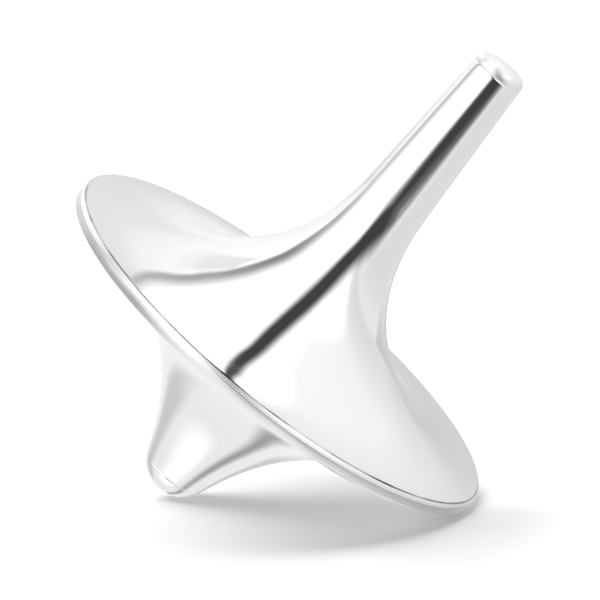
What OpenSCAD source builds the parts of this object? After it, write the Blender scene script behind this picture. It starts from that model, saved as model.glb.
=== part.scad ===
// Spinning top, 30 mm across, lying at rest on its nose and on the edge of its disc.
// Every piece is turned about one axis. In the turning frame z = 0 is the plane of the
// disc's top edge, +z runs up the stem. lay() leans that axis into the resting pose.

/* [Disc] */
// outside diameter of the disc, mm
disc_d = 30; // [20:0.5:45]
// height of the band round the disc's edge, mm
band_t = 0.9; // [0.7:0.05:2]
// chamfer on the band's top edge, mm
top_chamfer = 0.2; // [0.05:0.05:0.4]
// chamfer on the band's bottom edge, mm
bottom_chamfer = 0.1; // [0.05:0.05:0.3]
// thickness of the upper body's flange at the edge, mm
flange_t = 0.25; // [0.22:0.01:0.6]
// thickness of the flywheel plate inside the nose's seat, mm
plate_t = 0.73; // [0.5:0.01:1.5]
// edge break along each joint line, mm
edge_break = 0.04; // [0.02:0.01:0.1]

/* [Stem and upper flare] */
// height of the joint line under the grip cap, mm
stem_h = 20.5; // [14:0.1:30]
// stem diameter at that joint line, mm
stem_end_d = 3.3; // [2:0.05:5]
// height where the flare runs into the stem, mm
stem_root_h = 10.9; // [7:0.1:15]
// stem diameter at that height, mm
stem_root_d = 4.28; // [3:0.02:7]
// length of the flare's run in from the rim, mm
flare_run = 5.8; // [2:0.1:10]
// rise of the flare per mm at the rim
flare_slope = 0.06; // [0:0.01:0.3]
// length of the flare's run down from the stem, mm
flare_drop = 8.5; // [3:0.1:10]

/* [Nose] */
// height of the nose under the band, mm
nose_h = 11.4; // [8:0.1:16]
// radius of the nose tip, mm
tip_r = 2.25; // [1:0.05:4]
// half angle of the nose cone at the tip, degrees
tip_angle = 23.3; // [10:0.1:40]
// length of the underside's run in from the rim, mm
under_run = 10; // [4:0.1:12]
// fall of the underside per mm at the rim
under_slope = 0.1; // [0:0.01:0.3]
// length of the cone's straight start above the tip, mm
under_rise = 1.65; // [0.5:0.05:5]
// where the nose's joint line lies along the underside, 0 rim to 1 tip
seam_at = 0.1; // [0.05:0.01:0.2]

/* [Grip cap and tip insert] */
// height of the grip cap over its joint line, mm
cap_h = 0.66; // [0.3:0.02:2]
// rounding of the grip cap's edge, mm
cap_round = 0.56; // [0.2:0.02:1]
// rise of the dome on top of the grip cap, mm
cap_dome = 0.08; // [0:0.02:0.3]
// diameter of the cap's spigot, mm
spigot_d = 1.9; // [1:0.1:3]
// length of the cap's spigot, mm
spigot_l = 3; // [1:0.1:6]
// diameter of the tip insert's shank, mm
shank_d = 2.4; // [1.5:0.1:3.5]
// length of the tip insert's shank, mm
shank_l = 2.5; // [1:0.1:4]

/* [Centre screw and washer] */
// thread diameter of the set screw, mm
screw_d = 6; // [4:0.5:8]
// length of the set screw, mm
screw_l = 10; // [6:0.5:16]
// pitch of its thread, mm
pitch = 1; // [0.5:0.05:1.25]
// height of the screw's upper end, mm
screw_top = 3.9; // [2:0.1:6]
// width across flats of its hex socket, mm
socket_af = 3; // [2:0.5:4]
// radial clearance of the plate and nose on the screw, mm
running_gap = 0.05; // [0.02:0.01:0.1]
// outside diameter of the lock washer, mm
washer_d = 10.2; // [8:0.1:14]
// thickness of the lock washer, mm
washer_t = 0.3; // [0.2:0.05:1]
// width of the split in the lock washer, mm
washer_split = 0.6; // [0.3:0.1:1.5]

/* [Hidden] */
$fn = 96;
curve_n = 40;
R = disc_d / 2;
rs = screw_d / 2;
bore_r = rs + running_gap;
drill_r = rs - 0.5 * pitch;
stem_end_r = stem_end_d / 2;
stem_root_r = stem_root_d / 2;
stem_slope = (stem_root_r - stem_end_r) / (stem_h - stem_root_h);
zs = -band_t - nose_h + tip_r;
tip_edge = [tip_r * cos(tip_angle), zs - tip_r * sin(tip_angle)];
plate_z = -flange_t - plate_t;

function lerp3(a, b, c, d, t) =
    pow(1 - t, 3) * a + 3 * pow(1 - t, 2) * t * b + 3 * (1 - t) * t * t * c + pow(t, 3) * d;

function upper(t) = lerp3(
    [R - top_chamfer, 0],
    [R - top_chamfer - flare_run, flare_run * flare_slope],
    [stem_root_r + stem_slope * flare_drop, stem_root_h - flare_drop],
    [stem_root_r, stem_root_h], t);

function under(t) = lerp3(
    [R - bottom_chamfer, -band_t],
    [R - bottom_chamfer - under_run, -band_t - under_run * under_slope],
    tip_edge + under_rise * [sin(tip_angle), cos(tip_angle)],
    tip_edge, t);

function arc(cx, cz, r, a0, a1, n) =
    [for (i = [0:n]) let (a = a0 + (a1 - a0) * i / n) [cx + r * cos(a), cz + r * sin(a)]];

seam = under(seam_at);
nose_edge_r = seam[0] - running_gap;

// Resting pose: the floor touches the tip sphere and the disc's bottom edge.
rest_r = R - bottom_chamfer;
lean = atan2(-band_t - zs, rest_r) + asin(tip_r / norm([rest_r, -band_t - zs]));
lift = rest_r * sin(lean) + band_t * cos(lean);
cap_c = [stem_end_r - cap_round, stem_h + cap_h - cap_round];
x_high = cap_c[0] * cos(lean) + cap_c[1] * sin(lean) + cap_round;
x_low = -R * cos(lean) - (band_t - bottom_chamfer) * sin(lean);
shift = -(x_high + x_low) / 2;

module lay() translate([shift, 0, lift]) rotate([0, lean, 0]) children();
module turn(points) lay() rotate_extrude() polygon(points);

module upper_body() color([0.88, 0.88, 0.89]) turn(concat(
    [[R - edge_break, -flange_t], [R, -flange_t + edge_break / 2], [R, -top_chamfer]],
    [for (i = [0:curve_n]) upper(i / curve_n)],
    [[stem_end_r + stem_slope * edge_break, stem_h - edge_break],
     [stem_end_r - edge_break, stem_h],
     [spigot_d / 2, stem_h],
     [spigot_d / 2, stem_h - spigot_l - 0.2],
     [0, stem_h - spigot_l - 0.7],
     [0, screw_top + 1 + drill_r * tan(31)],
     [drill_r, screw_top + 1],
     [drill_r, screw_top + 0.2],
     [rs, screw_top + 0.2],
     [rs, -flange_t]]));

module flywheel() color([0.8, 0.8, 0.82]) turn(concat(
    [[bore_r, plate_z], [bore_r, -flange_t], [R - edge_break, -flange_t],
     [R, -flange_t - edge_break], [R, -band_t + bottom_chamfer]],
    [for (i = [0:8]) under(seam_at * i / 8)],
    [[seam[0], plate_z]]));

module nose_cone() color([0.88, 0.88, 0.89]) turn(concat(
    [[nose_edge_r, plate_z], [nose_edge_r, seam[1]]],
    [for (i = [1:curve_n]) under(seam_at + 0.01 + (0.99 - seam_at) * i / curve_n)],
    [[shank_d / 2, tip_edge[1]],
     [shank_d / 2, tip_edge[1] + shank_l + 0.15],
     [0, tip_edge[1] + shank_l + 0.15],
     [0, screw_top - screw_l - 0.8],
     [drill_r, screw_top - screw_l - 0.8],
     [drill_r, screw_top - screw_l - 0.2],
     [bore_r, screw_top - screw_l - 0.2],
     [bore_r, plate_z - washer_t],
     [washer_d / 2 + 0.1, plate_z - washer_t],
     [washer_d / 2 + 0.1, plate_z]]));

module grip_cap() color([0.9, 0.9, 0.91]) turn(concat(
    [[0, stem_h - spigot_l], [spigot_d / 2 - 0.1, stem_h - spigot_l],
     [spigot_d / 2, stem_h - spigot_l + 0.1], [spigot_d / 2, stem_h],
     [stem_end_r - edge_break, stem_h], [stem_end_r, stem_h + edge_break]],
    arc(cap_c[0], cap_c[1], cap_round, 0, 84, 14),
    [for (i = [1:6]) let (u = 1 - i / 6)
        [cap_c[0] * u, stem_h + cap_h + cap_dome * (1 - u * u)]]));

module tip_insert() color([0.9, 0.9, 0.91]) turn(concat(
    [[0, tip_edge[1] + shank_l], [shank_d / 2 - 0.15, tip_edge[1] + shank_l],
     [shank_d / 2, tip_edge[1] + shank_l - 0.15], [shank_d / 2, tip_edge[1]],
     [tip_edge[0] - edge_break, tip_edge[1]]],
    arc(0, zs, tip_r, -tip_angle - 1.5, -90, 24)));

// Ring grooves stand for the thread; both ends carry a lead chamfer.
module centre_screw() color([0.2, 0.2, 0.22]) lay() translate([0, 0, screw_top - screw_l])
    difference() {
        rotate_extrude() polygon(concat(
            [[0, 0], [rs - 0.6 * pitch, 0]],
            [for (k = [0:screw_l / pitch - 1], p = [
                [rs - 0.6 * pitch, k * pitch + 0.05], [rs, k * pitch + 0.4 * pitch],
                [rs, k * pitch + 0.6 * pitch], [rs - 0.6 * pitch, (k + 1) * pitch - 0.05]]) p],
            [[0, screw_l]]));
        translate([0, 0, -0.01]) linear_extrude(height = 3.01)
            polygon([for (a = [0:60:300]) socket_af / sqrt(3) * [cos(a), sin(a)]]);
    }

module lock_washer() color([0.55, 0.55, 0.57]) lay()
    translate([0, 0, plate_z - washer_t]) difference() {
        cylinder(h = washer_t, r = washer_d / 2);
        translate([0, 0, -1]) cylinder(h = washer_t + 2, r = bore_r + 0.1);
        translate([0, -washer_split / 2, -1]) cube([washer_d, washer_split, washer_t + 2]);
    }

upper_body();
flywheel();
nose_cone();
grip_cap();
tip_insert();
centre_screw();
lock_washer();
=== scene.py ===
from math import asin, atan2, cos, hypot, pi, radians, sin, tan

import bpy
from mathutils import Matrix, Vector


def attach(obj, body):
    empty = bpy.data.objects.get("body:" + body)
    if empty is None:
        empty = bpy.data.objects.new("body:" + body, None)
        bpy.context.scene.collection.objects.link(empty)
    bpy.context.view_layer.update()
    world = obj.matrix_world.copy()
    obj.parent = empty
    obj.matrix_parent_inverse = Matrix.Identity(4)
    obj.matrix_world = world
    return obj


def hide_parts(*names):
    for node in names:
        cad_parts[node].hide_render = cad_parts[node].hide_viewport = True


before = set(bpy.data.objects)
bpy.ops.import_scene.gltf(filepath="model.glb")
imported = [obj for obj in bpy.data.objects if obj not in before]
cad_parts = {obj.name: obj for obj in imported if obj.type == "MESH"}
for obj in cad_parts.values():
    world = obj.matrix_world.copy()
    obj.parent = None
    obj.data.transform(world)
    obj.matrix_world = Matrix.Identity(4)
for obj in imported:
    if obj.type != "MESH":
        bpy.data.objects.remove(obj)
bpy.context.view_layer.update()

MM = 0.001

# ---------------------------------------------------------------- driving sizes, in millimetres
# They repeat the design's own sizes. In the turning frame z = 0 is the plane of the disc's top
# edge and +z runs up the stem. LAY puts that frame in its resting place.
DISC_R = 15.0
BAND_T = 0.9
TOP_CHAMFER = 0.2
BOTTOM_CHAMFER = 0.1
FLANGE_T = 0.25
PLATE_T = 0.73
EDGE_BREAK = 0.04
STEM_H = 20.5
STEM_END_R = 1.65
STEM_ROOT_H = 10.9
STEM_ROOT_R = 2.14
FLARE_RUN = 5.8
FLARE_SLOPE = 0.06
FLARE_DROP = 8.5
NOSE_H = 11.4
TIP_R = 2.25
TIP_ANGLE = radians(23.3)
UNDER_RUN = 10.0
UNDER_SLOPE = 0.1
UNDER_RISE = 1.65
SEAM_AT = 0.1
CAP_H = 0.66
CAP_ROUND = 0.56
CAP_DOME = 0.08
SPIGOT_R = 0.95
SPIGOT_L = 3.0
SHANK_R = 1.2
SHANK_L = 2.5
SCREW_R = 3.0
SCREW_L = 10.0
PITCH = 1.0
SCREW_TOP = 3.9
SOCKET_AF = 3.0
RUNNING_GAP = 0.05
WASHER_R = 5.1
WASHER_T = 0.3

# Ends and depths inside, out of sight once the top is together. THREAD_FLAT is the share of the
# pitch that is flat at the thread's crest, and at its root.
THREAD_DEPTH = 0.6
THREAD_FLAT = 0.1
SCREW_CHAMFER = 0.7
SOCKET_DEPTH = 3.0
SOCKET_POINT = 0.6
SPIGOT_CHAMFER = 0.1
SPIGOT_HOLE_POINT = 0.5
SHANK_CHAMFER = 0.15
SHANK_HOLE_GAP = 0.15
END_GAP = 0.2
DRILL_ABOVE_SCREW = 1.0
DRILL_BELOW_SCREW = 0.8
DRILL_POINT = radians(31)
SEAT_GAP = 0.1

# Where the arcs of the cap and the tip stop, and the small gap that the nose leaves at its joint
# line, as a share of the underside.
CAP_ROUND_END = radians(84)
TIP_BREAK = radians(1.5)
SEAM_BREAK = 0.012

# How finely the meshes are cut, and from which angle their shading breaks.
SEGMENTS = 288
FLARE_STEPS = 120
CONE_STEPS = 110
TIP_STEPS = 40
CAP_ROUND_STEPS = 24
CAP_DOME_STEPS = 12
SEAM_STEPS = 12
SHARP_EDGE = radians(40)
ON_AXIS = 1e-6

# A corner is rounded by this much, but by no more than a share of either side. It is left alone
# where the cosine between its sides says that they nearly line up.
CORNER = 0.02
CORNER_SHARE = 0.4
CORNER_STEPS = 3
NEARLY_STRAIGHT = -0.94

BORE_R = SCREW_R + RUNNING_GAP
DRILL_R = SCREW_R - 0.5 * PITCH
PLATE_Z = -FLANGE_T - PLATE_T
SCREW_END = SCREW_TOP - SCREW_L
TIP_Z = -BAND_T - NOSE_H + TIP_R
TIP_EDGE = Vector((TIP_R * cos(TIP_ANGLE), TIP_Z - TIP_R * sin(TIP_ANGLE)))
STEM_SLOPE = (STEM_ROOT_R - STEM_END_R) / (STEM_H - STEM_ROOT_H)

# Resting pose: the floor touches the tip sphere and the disc's bottom edge.
REST_R = DISC_R - BOTTOM_CHAMFER
REST_DROP = -BAND_T - TIP_Z
LEAN = atan2(REST_DROP, REST_R) + asin(TIP_R / hypot(REST_R, REST_DROP))
LIFT = REST_R * sin(LEAN) + BAND_T * cos(LEAN)
CAP_X = STEM_END_R - CAP_ROUND
CAP_Z = STEM_H + CAP_H - CAP_ROUND
HIGH_X = CAP_X * cos(LEAN) + CAP_Z * sin(LEAN) + CAP_ROUND
LOW_X = -DISC_R * cos(LEAN) - (BAND_T - BOTTOM_CHAMFER) * sin(LEAN)
SHIFT = -(HIGH_X + LOW_X) / 2
LAY = Matrix.Translation(Vector((SHIFT, 0, LIFT)) * MM) @ Matrix.Rotation(LEAN, 4, "Y")


# ---------------------------------------------------------------- outlines
def bezier(a, b, c, d, t):
    """A cubic curve from a (t = 0) to d (t = 1), pulled towards b and c."""
    s = 1 - t
    return s**3 * a + 3 * s * s * t * b + 3 * s * t * t * c + t**3 * d


def upper(t):
    """The upper face, from the disc's edge (0) to where the flare meets the stem (1)."""
    edge = DISC_R - TOP_CHAMFER
    return bezier(
        Vector((edge, 0)),
        Vector((edge - FLARE_RUN, FLARE_RUN * FLARE_SLOPE)),
        Vector((STEM_ROOT_R + STEM_SLOPE * FLARE_DROP, STEM_ROOT_H - FLARE_DROP)),
        Vector((STEM_ROOT_R, STEM_ROOT_H)),
        t,
    )


def under(t):
    """The underside, from the disc's edge (0) to the tip insert (1)."""
    edge = DISC_R - BOTTOM_CHAMFER
    return bezier(
        Vector((edge, -BAND_T)),
        Vector((edge - UNDER_RUN, -BAND_T - UNDER_RUN * UNDER_SLOPE)),
        TIP_EDGE + UNDER_RISE * Vector((sin(TIP_ANGLE), cos(TIP_ANGLE))),
        TIP_EDGE,
        t,
    )


def steps(start, end, count):
    """Evenly spaced values from start to end, both of them included."""
    return [start + (end - start) * i / count for i in range(count + 1)]


def arc(x, z, radius, start, end, count):
    """Points along an arc round (x, z)."""
    return [(x + radius * cos(a), z + radius * sin(a)) for a in steps(start, end, count)]


def rounded(points):
    """The closed outline with each sharp corner turned into a small curve."""
    pts = [Vector(p) for p in points]
    out = []
    for i, p in enumerate(pts):
        before, after = pts[i - 1] - p, pts[(i + 1) % len(pts)] - p
        straight = before.normalized().dot(after.normalized()) < NEARLY_STRAIGHT
        if p.x < ON_AXIS or straight:
            out.append(p)
            continue
        cut = min(CORNER, before.length * CORNER_SHARE, after.length * CORNER_SHARE)
        a, b = p + before.normalized() * cut, p + after.normalized() * cut
        for t in steps(0, 1, CORNER_STEPS):
            out.append((1 - t) ** 2 * a + 2 * t * (1 - t) * p + t * t * b)
    return out


# ---------------------------------------------------------------- meshes
def add_piece(name, verts, faces, node, body, material):
    """A smooth piece from points in the turning frame, laid in its resting place.

    It stands in for a node of the design and moves with that node's body. Reflections leave it
    out, because the cards stand for all that the metal mirrors.
    """
    mesh = bpy.data.meshes.new(name)
    mesh.from_pydata([LAY @ (Vector(v) * MM) for v in verts], [], faces)
    mesh.update()
    mesh.shade_smooth()
    mesh.set_sharp_from_angle(angle=SHARP_EDGE)
    mesh.materials.append(material)
    piece = bpy.data.objects.new(name, mesh)
    bpy.context.collection.objects.link(piece)
    piece.visible_glossy = False
    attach(piece, body)
    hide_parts(node)


def twice_area(outline):
    """Positive where the outline runs anticlockwise, with the axis on its left."""
    pairs = zip(outline, outline[1:] + outline[:1])
    return sum(a[0] * b[1] - b[0] * a[1] for a, b in pairs)


def turned(name, outline, node, body, material):
    """A closed solid of revolution from an outline of (radius, height) points."""
    outline = rounded(outline)
    if twice_area(outline) < 0:
        outline.reverse()
    verts, faces, rings = [], [], []
    for r, z in outline:
        if r < ON_AXIS:
            rings.append([len(verts)])
            verts.append((0, 0, z))
            continue
        rings.append(list(range(len(verts), len(verts) + SEGMENTS)))
        for k in range(SEGMENTS):
            a = 2 * pi * k / SEGMENTS
            verts.append((r * cos(a), r * sin(a), z))
    for ring, above in zip(rings, rings[1:] + rings[:1]):
        if len(ring) == 1 and len(above) == 1:
            continue
        for k in range(SEGMENTS):
            j = (k + 1) % SEGMENTS
            if len(ring) == 1:
                faces.append((ring[0], above[j], above[k]))
            elif len(above) == 1:
                faces.append((ring[k], ring[j], above[0]))
            else:
                faces.append((ring[k], ring[j], above[j], above[k]))
    add_piece(name, verts, faces, node, body, material)


def threaded_screw(name, node, body, material, columns=72, turn_rows=16):
    """The set screw with a true helical thread, chamfered ends and a hex socket below."""
    rows = int(SCREW_L / PITCH * turn_rows)
    verts, faces = [], []
    for i in range(rows + 1):
        height = SCREW_L * i / rows
        end = min(height, SCREW_L - height)
        for k in range(columns):
            turn = (height / PITCH - k / columns) % 1
            flank = (abs(2 * turn - 1) - THREAD_FLAT) / (1 - 2 * THREAD_FLAT)
            depth = THREAD_DEPTH * min(max(flank, 0), 1)
            r = min(SCREW_R - depth, SCREW_R - SCREW_CHAMFER + end)
            a = 2 * pi * k / columns
            verts.append((r * cos(a), r * sin(a), SCREW_END + height))
    for i in range(rows):
        for k in range(columns):
            j = (k + 1) % columns
            base, above = i * columns, (i + 1) * columns
            faces.append((base + k, base + j, above + j, above + k))
    top = len(verts)
    verts.append((0, 0, SCREW_TOP))
    last = rows * columns
    faces += [(last + k, last + (k + 1) % columns, top) for k in range(columns)]
    rings = [0]
    for height in (0, SOCKET_DEPTH):
        rings.append(len(verts))
        for k in range(columns):
            a = 2 * pi * k / columns
            r = SOCKET_AF / 2 / cos((a + pi / 6) % (pi / 3) - pi / 6)
            verts.append((r * cos(a), r * sin(a), SCREW_END + height))
    bottom = len(verts)
    verts.append((0, 0, SCREW_END + SOCKET_DEPTH + SOCKET_POINT))
    for outer, inner in zip(rings, rings[1:]):
        for k in range(columns):
            j = (k + 1) % columns
            faces.append((outer + j, outer + k, inner + k, inner + j))
    for k in range(columns):
        faces.append((rings[-1] + (k + 1) % columns, rings[-1] + k, bottom))
    add_piece(name, verts, faces, node, body, material)


# ---------------------------------------------------------------- the pieces' outlines
def upper_body_outline():
    points = [
        (SCREW_R, -FLANGE_T),
        (DISC_R - EDGE_BREAK, -FLANGE_T),
        (DISC_R, -FLANGE_T + EDGE_BREAK / 2),
        (DISC_R, -TOP_CHAMFER),
    ]
    points += [upper(t) for t in steps(0, 1, FLARE_STEPS)]
    points += [
        (STEM_END_R + STEM_SLOPE * EDGE_BREAK, STEM_H - EDGE_BREAK),
        (STEM_END_R - EDGE_BREAK, STEM_H),
        (SPIGOT_R, STEM_H),
        (SPIGOT_R, STEM_H - SPIGOT_L - END_GAP),
        (0, STEM_H - SPIGOT_L - END_GAP - SPIGOT_HOLE_POINT),
        (0, SCREW_TOP + DRILL_ABOVE_SCREW + DRILL_R * tan(DRILL_POINT)),
        (DRILL_R, SCREW_TOP + DRILL_ABOVE_SCREW),
        (DRILL_R, SCREW_TOP + END_GAP),
        (SCREW_R, SCREW_TOP + END_GAP),
    ]
    return points


def flywheel_outline():
    points = [
        (BORE_R, PLATE_Z),
        (BORE_R, -FLANGE_T),
        (DISC_R - EDGE_BREAK, -FLANGE_T),
        (DISC_R, -FLANGE_T - EDGE_BREAK),
        (DISC_R, -BAND_T + BOTTOM_CHAMFER),
    ]
    points += [under(t) for t in steps(0, SEAM_AT, SEAM_STEPS)]
    return [*points, (under(SEAM_AT).x, PLATE_Z)]


def nose_cone_outline():
    edge_r = under(SEAM_AT).x - RUNNING_GAP
    shank_end = TIP_EDGE.y + SHANK_L + SHANK_HOLE_GAP
    seat_r = WASHER_R + SEAT_GAP
    points = [(edge_r, PLATE_Z), (edge_r, under(SEAM_AT).y)]
    points += [under(t) for t in steps(SEAM_AT + SEAM_BREAK, 1, CONE_STEPS)]
    points += [
        (SHANK_R, TIP_EDGE.y),
        (SHANK_R, shank_end),
        (0, shank_end),
        (0, SCREW_END - DRILL_BELOW_SCREW),
        (DRILL_R, SCREW_END - DRILL_BELOW_SCREW),
        (DRILL_R, SCREW_END - END_GAP),
        (BORE_R, SCREW_END - END_GAP),
        (BORE_R, PLATE_Z - WASHER_T),
        (seat_r, PLATE_Z - WASHER_T),
        (seat_r, PLATE_Z),
    ]
    return points


def grip_cap_outline():
    low = STEM_H - SPIGOT_L
    points = [
        (0, low),
        (SPIGOT_R - SPIGOT_CHAMFER, low),
        (SPIGOT_R, low + SPIGOT_CHAMFER),
        (SPIGOT_R, STEM_H),
        (STEM_END_R - EDGE_BREAK, STEM_H),
        (STEM_END_R, STEM_H + EDGE_BREAK),
    ]
    points += arc(CAP_X, CAP_Z, CAP_ROUND, 0, CAP_ROUND_END, CAP_ROUND_STEPS)
    for u in steps(1, 0, CAP_DOME_STEPS)[1:]:
        points.append((CAP_X * u, STEM_H + CAP_H + CAP_DOME * (1 - u * u)))
    return points


def tip_insert_outline():
    high = TIP_EDGE.y + SHANK_L
    points = [
        (0, high),
        (SHANK_R - SHANK_CHAMFER, high),
        (SHANK_R, high - SHANK_CHAMFER),
        (SHANK_R, TIP_EDGE.y),
        (TIP_EDGE.x - EDGE_BREAK, TIP_EDGE.y),
    ]
    return points + arc(0, TIP_Z, TIP_R, -TIP_ANGLE - TIP_BREAK, -pi / 2, TIP_STEPS)


# ---------------------------------------------------------------- materials
def grey(level):
    return (level, level, level)


CHROME = (0.76, 0.76, 0.765)
# The colour below is painted reflection: the broken dark line at the edge of the polished face, which
# stands for the dark that the chamfer mirrors. LINE_FAINTEST is how faint its breaks get.
LINE_COLOUR = grey(0.05)
LINE_FAINTEST = 0.3
# The noises' scales per metre, and the range that nearly all of a noise's values lie in.
CLOUD_SCALE = 260
BREAK_SCALE = 350
RING_SCALE = 9000
NOISE_LOW, NOISE_HIGH = 0.3, 0.7
# How deep the turning marks are, how far the painted dark line reaches to each side, and how
# much rougher the metal is where it was left as turned. The line is a painted dark reflection:
# it stands for the dark that the chamfer mirrors.
MARK_DEPTH = 0.004 * MM
LINE_HALF = 0.03 * MM
AS_TURNED = 0.28
# The line's middle is a little outside the edge of the polished face.
EDGE_LINE = (DISC_R - TOP_CHAMFER) * MM + LINE_HALF


def shader(name, colour, roughness, metallic=1.0):
    material = bpy.data.materials.new(name)
    material.use_nodes = True
    bsdf = material.node_tree.nodes["Principled BSDF"]
    bsdf.inputs["Base Color"].default_value = (*colour, 1)
    bsdf.inputs["Roughness"].default_value = roughness
    bsdf.inputs["Metallic"].default_value = metallic
    return material, material.node_tree, bsdf


def calculate(tree, operation, first, second=0.0):
    """A math node on sockets or plain numbers."""
    node = tree.nodes.new("ShaderNodeMath")
    node.operation = operation
    for socket, value in zip(node.inputs, (first, second)):
        if isinstance(value, bpy.types.NodeSocket):
            tree.links.new(value, socket)
        else:
            socket.default_value = value
    return node.outputs["Value"]


def spread(tree, value, start, end, low, high):
    """Low where the value is start, high where it is end, even between and level beyond them."""
    span = tree.nodes.new("ShaderNodeMapRange")
    span.inputs["From Min"].default_value = start
    span.inputs["From Max"].default_value = end
    span.inputs["To Min"].default_value = low
    span.inputs["To Max"].default_value = high
    tree.links.new(value, span.inputs["Value"])
    return span.outputs["Result"]


def turning_place(tree):
    """Where a point lies in the turning frame, in metres: the stem's axis is z."""
    place = tree.nodes.new("ShaderNodeTexCoord")
    mapping = tree.nodes.new("ShaderNodeMapping")
    mapping.vector_type = "TEXTURE"
    mapping.inputs["Location"].default_value = LAY.translation
    mapping.inputs["Rotation"].default_value = (0, LEAN, 0)
    tree.links.new(place.outputs["Object"], mapping.inputs["Vector"])
    return mapping.outputs["Vector"]


def radius_and_height(tree):
    """How far a point is from the stem's axis, and how high up it, in metres."""
    split = tree.nodes.new("ShaderNodeSeparateXYZ")
    flat = tree.nodes.new("ShaderNodeCombineXYZ")
    radius = tree.nodes.new("ShaderNodeVectorMath")
    radius.operation = "LENGTH"
    tree.links.new(turning_place(tree), split.inputs["Vector"])
    tree.links.new(split.outputs["X"], flat.inputs["X"])
    tree.links.new(split.outputs["Y"], flat.inputs["Y"])
    tree.links.new(flat.outputs["Vector"], radius.inputs[0])
    return radius.outputs["Value"], split.outputs["Z"]


def noise_range(tree, vector, scale, low, high, detail=4.0):
    """A noise over a vector, spread over a range."""
    noise = tree.nodes.new("ShaderNodeTexNoise")
    noise.inputs["Scale"].default_value = scale
    noise.inputs["Detail"].default_value = detail
    tree.links.new(vector, noise.inputs["Vector"])
    return spread(tree, noise.outputs["Fac"], NOISE_LOW, NOISE_HIGH, low, high)


def paint_edge_reflection(tree, bsdf, colour, roughness):
    """Paint a broken dark line round the polished face, and roughen the metal outside it.

    The line is a painted dark reflection, which stands for the dark that the chamfer mirrors.
    """
    radius = radius_and_height(tree)[0]
    away = calculate(tree, "ABSOLUTE", calculate(tree, "SUBTRACT", radius, EDGE_LINE))
    on_line = spread(tree, away, LINE_HALF, 2 * LINE_HALF, 1, 0)
    breaks = noise_range(tree, turning_place(tree), BREAK_SCALE, LINE_FAINTEST, 1)
    mix = tree.nodes.new("ShaderNodeMixRGB")
    mix.inputs["Color1"].default_value = (*colour, 1)
    mix.inputs["Color2"].default_value = (*LINE_COLOUR, 1)
    tree.links.new(calculate(tree, "MULTIPLY", on_line, breaks), mix.inputs["Fac"])
    tree.links.new(mix.outputs["Color"], bsdf.inputs["Base Color"])
    rise = spread(tree, radius, EDGE_LINE, EDGE_LINE + LINE_HALF, 0, AS_TURNED)
    return calculate(tree, "ADD", rise, roughness)


def add_turning_marks(tree, bsdf, strength, scale):
    """Fine grooves in rings round the axis."""
    radius, height = radius_and_height(tree)
    place = tree.nodes.new("ShaderNodeCombineXYZ")
    tree.links.new(radius, place.inputs["X"])
    tree.links.new(height, place.inputs["Z"])
    bump = tree.nodes.new("ShaderNodeBump")
    bump.inputs["Strength"].default_value = strength
    bump.inputs["Distance"].default_value = MARK_DEPTH
    rings = noise_range(tree, place.outputs["Vector"], scale, 0, 1, detail=3.0)
    tree.links.new(rings, bump.inputs["Height"])
    tree.links.new(bump.outputs["Normal"], bsdf.inputs["Normal"])


def metal(name, colour, low, high, marks=0.0, scale=RING_SCALE, edge_reflection=False):
    """Metal whose roughness varies in clouds from low to high, as wiping leaves it.

    marks is the strength of its turning marks, and the flag after scale paints a dark line at the
    edge of the polished face, a painted dark reflection of the chamfer.
    """
    material, tree, bsdf = shader(name, colour, low)
    roughness = noise_range(tree, turning_place(tree), CLOUD_SCALE, low, high)
    if edge_reflection:
        roughness = paint_edge_reflection(tree, bsdf, colour, roughness)
    tree.links.new(roughness, bsdf.inputs["Roughness"])
    if marks:
        add_turning_marks(tree, bsdf, marks, scale)
    return material


# The polished shell gets a painted dark reflection: a broken dark line at the edge of its face.
shell_metal = metal("polished_shell", CHROME, 0.02, 0.045, marks=0.01, edge_reflection=True)
band_metal = metal("turned_band", grey(0.8), 0.16, 0.24, marks=0.35)
cap_metal = metal("satin_cap", CHROME, 0.34, 0.42)
tip_metal = metal("polished_tip", CHROME, 0.08, 0.14)
black_metal = metal("black_oxide", (0.035, 0.035, 0.04), 0.3, 0.45)
spring_metal = metal("spring_steel", (0.5, 0.5, 0.52), 0.25, 0.4, marks=0.3, scale=5000)

# ---------------------------------------------------------------- the top
turned("stem_and_flare", upper_body_outline(), "upper_body", "body", shell_metal)
turned("disc_plate", flywheel_outline(), "flywheel", "plate", band_metal)
turned("lower_cone", nose_cone_outline(), "nose_cone", "nose", shell_metal)
turned("stem_button", grip_cap_outline(), "grip_cap", "body", cap_metal)
turned("nose_tip", tip_insert_outline(), "tip_insert", "nose", tip_metal)
threaded_screw("set_screw", "centre_screw", "body", black_metal)
# The washer keeps the mesh of its node and only gets a material.
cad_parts["lock_washer"].material_slots[0].material = spring_metal


# ---------------------------------------------------------------- studio
MIDDLE = Vector((0, 0, 12 * MM))
CEILING = 0.5
FLOOR_HALF = 1.5
FLOOR_DROP = 0.02 * MM
RAIL_STEPS = 16
CARD_COLUMNS = 8

# How bright the room is, for diffuse rays and, from straight down (0) to straight up (1), for
# reflections.
AMBIENT = 0.45
HEIGHT_LEVELS = ((0, 1.07), (0.45, 1.05), (0.48, 0.93), (0.5, 0.92), (0.543, 0.97), (0.587, 1.03),
                 (0.63, 1.11), (0.67, 1.17), (0.82, 1.25), (0.88, 1.6), (1, 1.6))


def towards(azimuth, elevation):
    """Unit vector: azimuth 0 points to -Y, 90 to +X; elevation is above the horizon, in degrees."""
    a, e = radians(azimuth), radians(elevation)
    return Vector((sin(a) * cos(e), -cos(a) * cos(e), sin(e)))


def on_wall(points, distance=0.9):
    """Points this far from the middle of the top, by azimuth and elevation."""
    return [MIDDLE + towards(*p) * distance for p in points]


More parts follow.
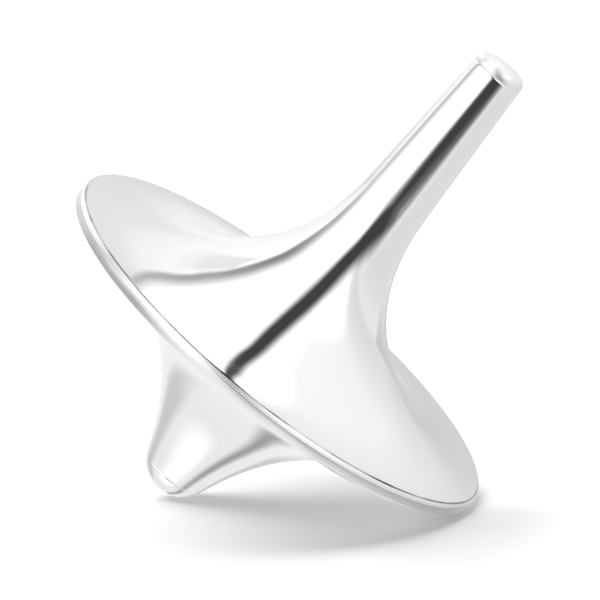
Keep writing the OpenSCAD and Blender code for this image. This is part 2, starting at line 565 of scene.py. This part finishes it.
def on_ceiling(points, height=CEILING):
    """Points at this height over the middle. Their x and y are in units of the height."""
    return [MIDDLE + Vector((x, y, 1)) * height for x, y in points]


def underneath(points):
    """Points below the middle, measured like those of the ceiling."""
    return [MIDDLE + Vector((x, y, -1)) * CEILING for x, y in points]


def on_floor(points, height=0.01):
    """Points just above the floor, all in millimetres."""
    return [Vector((x, y, height)) * MM for x, y in points]


def catmull(points, t):
    """A smooth curve through points, t from 0 to len(points) - 1."""
    i = min(int(t), len(points) - 2)
    f = t - i
    a, b = points[max(i - 1, 0)], points[i]
    c, d = points[i + 1], points[min(i + 2, len(points) - 1)]
    steep = 2 * a - 5 * b + 4 * c - d
    return 0.5 * (2 * b + (c - a) * f + steep * f * f + (3 * b - a - 3 * c + d) * f**3)


def ramp_of(tree, value, stops, smooth="EASE"):
    """A ramp of (position, level) stops over a value from 0 to 1."""
    ramp = tree.nodes.new("ShaderNodeValToRGB")
    ramp.color_ramp.interpolation = smooth
    elements = ramp.color_ramp.elements
    for element, (position, level) in zip(elements, (stops[0], stops[-1])):
        element.position = position
        element.color = (*grey(level), 1)
    for position, level in stops[1:-1]:
        elements.new(position).color = (*grey(level), 1)
    tree.links.new(value, ramp.inputs["Fac"])
    return ramp.outputs["Color"]


def card_material(name, colour, across, along):
    """A glow whose opacity goes by its (position, opacity) stops across and along the card."""
    material = bpy.data.materials.new(name)
    material.use_nodes = True
    tree = material.node_tree
    tree.nodes.clear()
    place = tree.nodes.new("ShaderNodeUVMap")
    place.uv_map = "place"
    split = tree.nodes.new("ShaderNodeSeparateXYZ")
    clear = tree.nodes.new("ShaderNodeBsdfTransparent")
    glow = tree.nodes.new("ShaderNodeEmission")
    glow.inputs["Color"].default_value = (*colour, 1)
    mix = tree.nodes.new("ShaderNodeMixShader")
    out = tree.nodes.new("ShaderNodeOutputMaterial")
    tree.links.new(place.outputs["UV"], split.inputs["Vector"])
    opacity_across = ramp_of(tree, split.outputs["X"], across)
    opacity_along = ramp_of(tree, split.outputs["Y"], along)
    opacity = calculate(tree, "MULTIPLY", opacity_across, opacity_along)
    tree.links.new(opacity, mix.inputs["Fac"])
    tree.links.new(clear.outputs["BSDF"], mix.inputs[1])
    tree.links.new(glow.outputs["Emission"], mix.inputs[2])
    tree.links.new(mix.outputs["Shader"], out.inputs["Surface"])
    return material


def card(name, left, right, colour, across, along):
    """A studio card between two rails of points, seen only in reflections.

    The stops of across run from the left rail to the right one, those of along from the rails'
    first point to their last.
    """
    count = RAIL_STEPS * (len(left) - 1)
    verts, places = [], []
    for i in range(count + 1):
        a, b = catmull(left, i / RAIL_STEPS), catmull(right, i / RAIL_STEPS)
        for u in steps(0, 1, CARD_COLUMNS):
            verts.append(a.lerp(b, u))
            places.append((u, i / count))
    row = CARD_COLUMNS + 1
    faces = [
        (row * i + j, row * i + j + 1, row * (i + 1) + j + 1, row * (i + 1) + j)
        for i in range(count)
        for j in range(CARD_COLUMNS)
    ]
    mesh = bpy.data.meshes.new(name)
    mesh.from_pydata(verts, [], faces)
    layer = mesh.uv_layers.new(name="place")
    for loop in mesh.loops:
        layer.data[loop.index].uv = places[loop.vertex_index]
    mesh.materials.append(card_material(name, colour, across, along))
    piece = bpy.data.objects.new(name, mesh)
    bpy.context.collection.objects.link(piece)
    piece.visible_camera = False
    piece.visible_diffuse = False
    piece.visible_shadow = False


def add_floor():
    """A plain pale floor, a hair below the pieces so that none of them touches it.

    Reflections leave it out, because the low cards stand for it.
    """
    corners = [(x * FLOOR_HALF, y * FLOOR_HALF, 0) for x, y in ((-1, -1), (1, -1), (1, 1), (-1, 1))]
    mesh = bpy.data.meshes.new("floor")
    mesh.from_pydata(corners, [], [(0, 1, 2, 3)])
    mesh.materials.append(shader("floor_white", grey(0.9), 0.6, metallic=0.0)[0])
    floor = bpy.data.objects.new("floor", mesh)
    floor.location.z = -FLOOR_DROP
    floor.visible_glossy = False
    bpy.context.collection.objects.link(floor)


def add_world():
    """An even light for diffuse rays, and for reflections a room that is dimmest at its horizon."""
    world = bpy.data.worlds.new("studio")
    bpy.context.scene.world = world
    world.use_nodes = True
    tree = world.node_tree
    seen = tree.nodes["Background"]
    place = tree.nodes.new("ShaderNodeTexCoord")
    split = tree.nodes.new("ShaderNodeSeparateXYZ")
    tree.links.new(place.outputs["Generated"], split.inputs["Vector"])
    height = spread(tree, split.outputs["Z"], -1, 1, 0, 1)
    tree.links.new(ramp_of(tree, height, HEIGHT_LEVELS, "LINEAR"), seen.inputs["Color"])
    soft = tree.nodes.new("ShaderNodeBackground")
    soft.inputs["Color"].default_value = (*grey(AMBIENT), 1)
    ray = tree.nodes.new("ShaderNodeLightPath")
    mix = tree.nodes.new("ShaderNodeMixShader")
    out = tree.nodes["World Output"]
    tree.links.new(ray.outputs["Is Diffuse Ray"], mix.inputs["Fac"])
    tree.links.new(seen.outputs["Background"], mix.inputs[1])
    tree.links.new(soft.outputs["Background"], mix.inputs[2])
    tree.links.new(mix.outputs["Shader"], out.inputs["Surface"])


def add_key(azimuth, elevation, strength, softness):
    """A broad soft light. It lights the floor, and the metal doesn't mirror it."""
    data = bpy.data.lights.new("key", "SUN")
    data.energy = strength
    data.angle = radians(softness)
    key = bpy.data.objects.new("key", data)
    key.rotation_euler = towards(azimuth, elevation).to_track_quat("Z", "Y").to_euler()
    key.visible_glossy = False
    bpy.context.collection.objects.link(key)


add_floor()
add_world()
add_key(azimuth=-125, elevation=56, strength=3.1, softness=58)

WHITE = grey(1.6)
BLACK = grey(0.065)
SOFT_ENDS = ((0, 0), (0.15, 1), (0.85, 1), (1, 0))

# The room's walls, from its horizon up: a bright one in front, a dim low one at the left, and a
# grey one behind with a paler one over it.
card("wall_front",
     on_wall([(-115, 8), (-60, 6), (-20, -4), (15, -4), (60, 2), (105, 10)], 3),
     on_wall([(-115, 58), (-60, 58), (-20, 58), (15, 58), (60, 58), (105, 58)], 3),
     WHITE, ((0, 0), (0.25, 1), (1, 1)), SOFT_ENDS)
card("wall_left",
     on_wall([(-155, -1), (-120, -1), (-90, -1), (-60, -1), (-25, -1)], 2),
     on_wall([(-155, 16), (-120, 27), (-90, 31), (-60, 27), (-25, 10)], 2),
     grey(0.45), ((0, 1), (0.75, 1), (1, 0)), ((0, 0), (0.2, 0.5), (0.4, 1), (0.75, 1), (1, 0)))
card("wall_back",
     on_wall([(-170, -2), (-170, 12), (-165, 24), (-160, 34)], 2),
     on_wall([(150, -2), (150, 12), (150, 24), (150, 34)], 2),
     grey(0.65), ((0, 0), (0.28, 1), (0.44, 1), (0.62, 0.4), (1, 0)),
     ((0, 0), (0.1, 0.75), (0.25, 0.65), (0.55, 0.4), (0.8, 0.1), (1, 0)))
card("wall_high",
     on_wall([(-172, 35), (-160, 50), (-135, 65)], 2), on_wall([(168, 35), (168, 48), (176, 60)], 2),
     grey(1.06), ((0, 0), (0.4, 1), (0.8, 1), (1, 0)), ((0, 0), (0.45, 1), (0.85, 1), (1, 0)))

# Overhead a bright panel lies between two dark flags. The right one runs down past the front.
card("panel",
     on_ceiling([(0.3, 2.9), (0.28, 1.45), (0.08, 0.6), (-0.4, 0.1)], 0.6),
     on_ceiling([(0.56, 2.6), (0.85, 1.45), (1.0, 0.6), (1.3, 0)], 0.6),
     WHITE, ((0, 0), (0.04, 1), (0.65, 1), (1, 0)), SOFT_ENDS)
card("flag_right",
     [*on_ceiling([(0.45, 2.95), (0.48, 2.44), (0.52, 1.95), (0.56, 1.42), (0.59, 0.85),
                   (0.565, 0.3), (0.49, -0.2), (0.35, -0.8)]),
      *on_wall([(6, 28), (-1, 15), (-10, 5), (-14, -4), (-4, -15), (15, -28), (25, -40), (32, -52)],
               0.8)],
     [*on_ceiling([(0.46, 2.95), (0.51, 2.44), (0.565, 2.02), (0.625, 1.5), (0.71, 0.92),
                   (0.82, 0.36), (1.02, -0.15), (1.46, -0.82)]),
      *on_wall([(55, 15), (51, 4), (53, -5), (58, -13), (58, -22), (54, -32), (50, -44), (46, -56)],
               0.8)],
     BLACK, ((0, 0), (0.3, 1), (0.55, 1), (1, 0)),
     ((0, 1), (0.76, 1), (0.82, 0.9), (0.87, 0.62), (0.93, 0.25), (1, 0)))
card("flag_left",
     on_ceiling([(0.28, 2.9), (0.285, 2.15), (0.245, 1.45), (0.2, 1.1), (0.11, 0.84), (0.02, 0.64),
                 (-0.1, 0.5), (-0.26, 0.38), (-0.47, 0.32), (-0.97, 0.42), (-1.35, 0.6), (-2, 0.95)]),
     on_ceiling([(0.315, 2.9), (0.345, 2.15), (0.355, 1.6), (0.34, 1.2), (0.3, 0.83), (0.23, 0.52),
                 (0.14, 0.24), (0, -0.03), (-0.2, -0.33), (-0.65, -0.52), (-1.1, -0.57), (-2, -0.7)]),
     (0.33, 0.33, 0.335), ((0, 0), (0.28, 1), (0.34, 1), (1, 0)),
     ((0, 0.6), (0.35, 0.85), (0.7, 1), (0.85, 0.8), (1, 0.5)))

# What the pieces see below the horizon: pale cards for the floor to the right, behind and to the
# left, a bright one low in front, a dim flag underneath, and a dim patch before the disc's band.
card("low_right",
     on_wall([(45, -2), (45, -30), (45, -60)]), on_wall([(175, -2), (175, -30), (175, -60)]),
     grey(0.93), ((0, 0), (0.3, 1), (1, 1)), ((0, 0), (0.2, 1), (0.7, 1), (1, 0)))
card("low_back",
     on_wall([(135, -3), (140, -15), (150, -45)], 0.8), on_wall([(190, 2), (198, -15), (200, -45)], 0.8),
     grey(0.72), SOFT_ENDS, ((0, 0), (0.1, 1), (0.8, 1), (1, 0)))
card("low_left",
     on_wall([(-85, 0), (-87, -10), (-98, -32)]), on_wall([(-128, 0), (-135, -12), (-142, -32)]),
     grey(0.75), ((0, 0), (0.45, 1), (0.7, 1), (1, 0)), ((0, 0), (0.1, 1), (0.7, 1), (1, 0)))
card("low_glow",
     on_wall([(-100, -14), (-102, -35), (-104, -52), (-100, -70)]),
     on_wall([(-26, -14), (-22, -35), (-16, -50), (-5, -66)]),
     grey(1.5), ((0, 0), (0.6, 1), (1, 0)), ((0, 0), (0.4, 1), (0.6, 1), (1, 0)))
card("low_flag",
     underneath([(0, -0.45), (-0.17, -0.11), (-0.42, 0.32), (-0.66, 0.75), (-0.8, 1.2), (-0.86, 1.8)]),
     underneath([(0.3, -0.2), (0.17, 0.11), (-0.12, 0.47), (-0.34, 0.78), (-0.5, 1.15), (-0.6, 1.8)]),
     grey(0.44), ((0, 0), (0.5, 1), (1, 0)), ((0, 0), (0.25, 1), (0.8, 1), (1, 0)))
card("band_shade",
     on_floor([(2, -32), (5, -20), (7, -10), (6, 2)]), on_floor([(14, -34), (17, -20), (17, -6), (15, 4)]),
     grey(0.5), ((0, 0), (0.35, 1), (0.7, 1), (1, 0)), ((0, 0), (0.4, 1), (0.8, 1), (1, 0)))

# ---------------------------------------------------------------- camera
AZIMUTH, ELEVATION, DISTANCE = 13.3, 7.9, 0.26
LENS, SENSOR = 260.4, 36
# The camera aims at the middle of the disc's top plane, moved this far right and up.
AIM_RIGHT = 0.93 * MM
AIM_UP = 2.14 * MM

camera_data = bpy.data.cameras.new("camera")
camera_data.sensor_width = SENSOR
camera_data.lens = LENS
camera = bpy.data.objects.new("camera", camera_data)
bpy.context.collection.objects.link(camera)
back = towards(AZIMUTH, ELEVATION)
right = Vector((cos(radians(AZIMUTH)), sin(radians(AZIMUTH)), 0))
above = back.cross(right)
aim = LAY.translation + AIM_RIGHT * right + AIM_UP * above
camera.location = aim + DISTANCE * back
camera.rotation_euler = back.to_track_quat("Z", "Y").to_euler()
bpy.context.scene.camera = camera
bpy.context.scene.view_settings.view_transform = "Standard"
